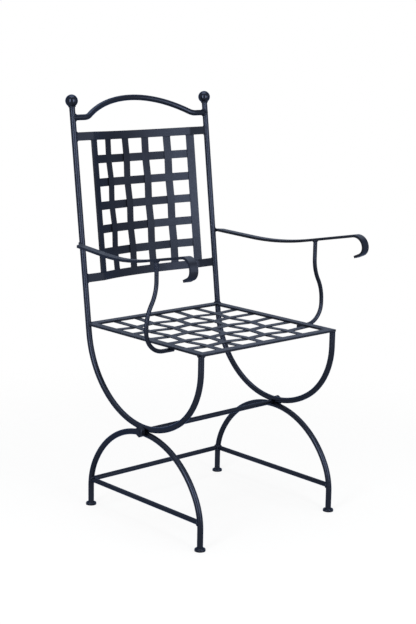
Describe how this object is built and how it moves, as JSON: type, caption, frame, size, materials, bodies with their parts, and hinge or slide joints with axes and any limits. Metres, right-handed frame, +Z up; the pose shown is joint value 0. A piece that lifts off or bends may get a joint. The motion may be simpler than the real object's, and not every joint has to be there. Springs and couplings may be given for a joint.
{
  "type": "garden armchair",
  "caption": "Rigid wrought iron garden armchair: woven flat-bar seat and bowed back, ball finials, scrolled arms and arched legs, to sit on outdoors",
  "frame": {"origin": "On the floor, under the middle of the overall box, which runs from the arm scrolls to the rear of the crest rail.", "axes": "+Z is up, -Y is the way a seated person faces, +X is to the right as the chair is seen from its front."},
  "size_m": [0.5676, 0.5574, 0.992],
  "materials": {
    "round_bar_paint": "satin black powder coat on round bar",
    "flat_bar_paint": "satin black powder coat on flat bar",
    "nut_paint": "satin black powder coat on nuts"
  },
  "bodies": {
    "root": {"back_bottom_rail": "flat_bar_paint", "back_cross_slat_1": "flat_bar_paint", "back_cross_slat_2": "flat_bar_paint", "back_cross_slat_3": "flat_bar_paint", "back_cross_slat_4": "flat_bar_paint", "back_cross_slat_5": "flat_bar_paint", "back_top_rail": "flat_bar_paint", "back_upright_slat_1": "flat_bar_paint", "back_upright_slat_2": "flat_bar_paint", "back_upright_slat_3": "flat_bar_paint", "back_upright_slat_4": "flat_bar_paint", "back_upright_slat_5": "flat_bar_paint", "back_upright_slat_6": "flat_bar_paint", "crest_rail": "round_bar_paint", "front_left_foot": "round_bar_paint", "front_right_foot": "round_bar_paint", "left_arm": "flat_bar_paint", "left_arm_support": "round_bar_paint", "left_finial": "round_bar_paint", "left_leg_arch": "round_bar_paint", "left_side_bar": "round_bar_paint", "left_side_stretcher": "round_bar_paint", "rear_left_foot": "round_bar_paint", "rear_right_foot": "round_bar_paint", "rear_stretcher": "round_bar_paint", "right_arm": "flat_bar_paint", "right_arm_support": "round_bar_paint", "right_finial": "round_bar_paint", "right_leg_arch": "round_bar_paint", "right_side_bar": "round_bar_paint", "right_side_stretcher": "round_bar_paint", "seat_cross_strip_1": "flat_bar_paint", "seat_cross_strip_2": "flat_bar_paint", "seat_cross_strip_3": "flat_bar_paint", "seat_cross_strip_4": "flat_bar_paint", "seat_cross_strip_5": "flat_bar_paint", "seat_front_rail": "flat_bar_paint", "seat_left_rail": "flat_bar_paint", "seat_long_strip_1": "flat_bar_paint", "seat_long_strip_2": "flat_bar_paint", "seat_long_strip_3": "flat_bar_paint", "seat_long_strip_4": "flat_bar_paint", "seat_long_strip_5": "flat_bar_paint", "seat_rear_rail": "flat_bar_paint", "seat_right_rail": "flat_bar_paint", "tie_bar": "round_bar_paint", "tie_bar_nuts": "nut_paint"}
  },
  "joints": []
}
